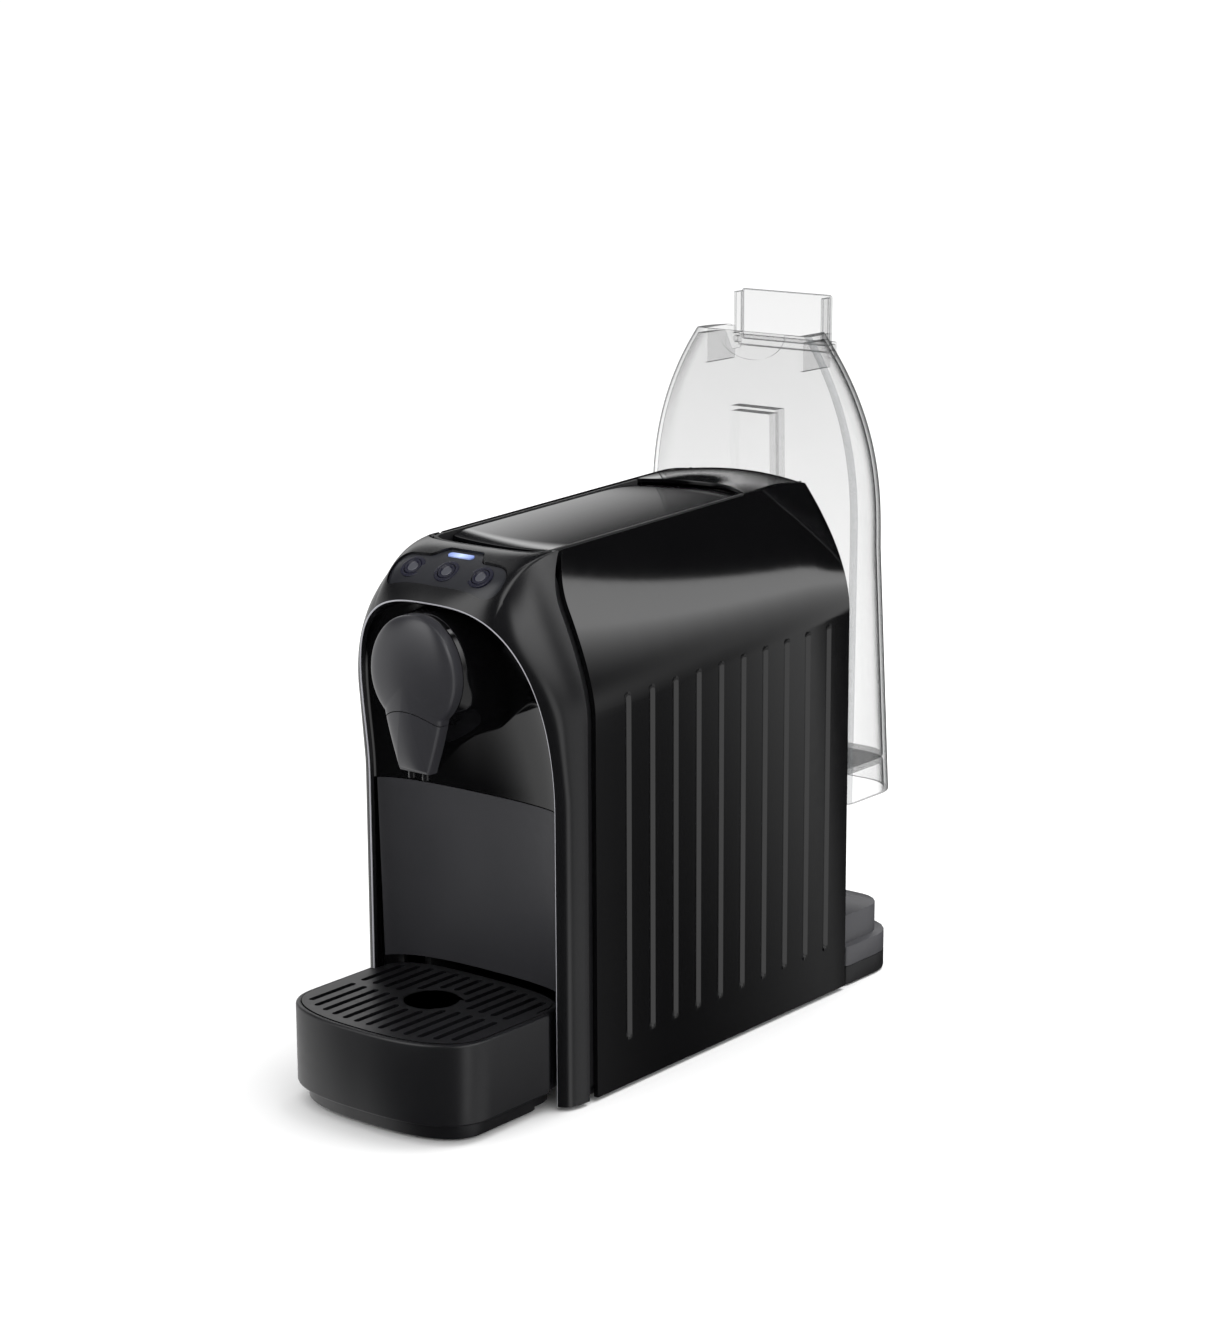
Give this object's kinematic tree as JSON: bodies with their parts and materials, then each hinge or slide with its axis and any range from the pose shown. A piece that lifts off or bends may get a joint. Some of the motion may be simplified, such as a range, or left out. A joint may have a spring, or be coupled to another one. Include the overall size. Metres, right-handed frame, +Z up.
{
  "type": "pod coffee machine",
  "caption": "Slim pod coffee machine: lever on top, round brew head, capsule container and drip tray in front, clear water tank lifted on its rear rail.",
  "frame": {"origin": "middle of the whole footprint, on the surface it stands on", "axes": "+Z up, -Y the front with the drip tray, +X to the right seen from the front"},
  "size_m": [0.1306, 0.352, 0.3538],
  "materials": {
    "gloss_black": "polished black",
    "satin_black": "satin black",
    "matt_black": "fine-grained black",
    "tray_grey": "matt dark grey",
    "clear_plastic": "clear",
    "white_light": "lit diffuser",
    "rubber": "matt",
    "steel": "brushed",
    "cast_aluminium": "as cast",
    "board_green": "lacquered laminate",
    "hose_clear": "translucent silicone"
  },
  "bodies": {
    "machine": {"side_panel_left": "gloss_black", "side_panel_right": "gloss_black", "niche_panel": "gloss_black", "brew_head_hood": "gloss_black", "rear_cap": "gloss_black", "front_frame": "satin_black", "control_panel": "satin_black", "brew_head_cap": "satin_black", "spout": "satin_black", "front_bulkhead": "matt_black", "top_deck": "matt_black", "back_panel": "matt_black", "base_plate": "matt_black", "tank_dock": "matt_black", "flow_meter": "matt_black", "light_bar": "white_light", "outlet_duct": "rubber", "cord_gland": "rubber", "foot_front_left": "rubber", "foot_rear_left": "rubber", "foot_front_right": "rubber", "foot_rear_right": "rubber", "dock_seal": "rubber", "pump_mount_left": "rubber", "pump_mount_right": "rubber", "lever_pin": "steel", "pump": "steel", "brew_plate": "cast_aluminium", "brew_guide": "cast_aluminium", "thermoblock": "cast_aluminium", "control_board": "board_green", "hose_dock": "hose_clear", "hose_suction": "hose_clear", "hose_pressure": "hose_clear", "hose_brew": "hose_clear"},
    "lever": {"lever": "gloss_black"},
    "piston": {"piston": "matt_black"},
    "button_left": {"button_left": "satin_black"},
    "button_middle": {"button_middle": "satin_black"},
    "button_right": {"button_right": "satin_black"},
    "container": {"capsule_container": "matt_black"},
    "tray": {"drip_tray": "tray_grey"},
    "grid": {"drip_grid": "tray_grey"},
    "tank": {"water_tank": "clear_plastic"},
    "lid": {"tank_lid": "clear_plastic"},
    "valve": {"tank_valve": "matt_black"}
  },
  "joints": [
    {"name": "lever_hinge", "type": "hinge", "parent": "machine", "child": "lever", "pos_m": [0, 0.067, 0.254], "axis": [-1, 0, 0], "range_deg": [0, 70]},
    {"name": "piston_slide", "type": "slide", "parent": "machine", "child": "piston", "axis": [0, 1, 0], "range_m": [0, 0.02]},
    {"name": "container_slide", "type": "slide", "parent": "machine", "child": "container", "axis": [0, -1, 0], "range_m": [0, 0.11]},
    {"name": "tray_slide", "type": "slide", "parent": "machine", "child": "tray", "axis": [0, -1, 0], "range_m": [0, 0.06]},
    {"name": "grid_lift", "type": "slide", "parent": "tray", "child": "grid", "axis": [0, 0, -1], "range_m": [-0.03, 0]},
    {"name": "tank_lift", "type": "slide", "parent": "machine", "child": "tank", "axis": [0, 0, 1], "range_m": [-0.0767, 0.18]},
    {"name": "lid_hinge", "type": "hinge", "parent": "tank", "child": "lid", "pos_m": [0, 0.1542, 0.3276], "axis": [1, 0, 0], "range_deg": [0, 90]},
    {"name": "valve_lift", "type": "slide", "parent": "tank", "child": "valve", "axis": [0, 0, 1], "range_m": [0, 0.003], "stiffness_N_per_m": 120},
    {"name": "button_left_press", "type": "slide", "parent": "machine", "child": "button_left", "axis": [0, 0.5717, -0.8204], "range_m": [0, 0.001], "stiffness_N_per_m": 600},
    {"name": "button_middle_press", "type": "slide", "parent": "machine", "child": "button_middle", "axis": [0, 0.5717, -0.8204], "range_m": [0, 0.001], "stiffness_N_per_m": 600},
    {"name": "button_right_press", "type": "slide", "parent": "machine", "child": "button_right", "axis": [0, 0.5717, -0.8204], "range_m": [0, 0.001], "stiffness_N_per_m": 600}
  ],
  "couplings": [
    {"joint": "piston_slide", "follows": "lever_hinge", "m_per_rad": 0.0163}
  ]
}
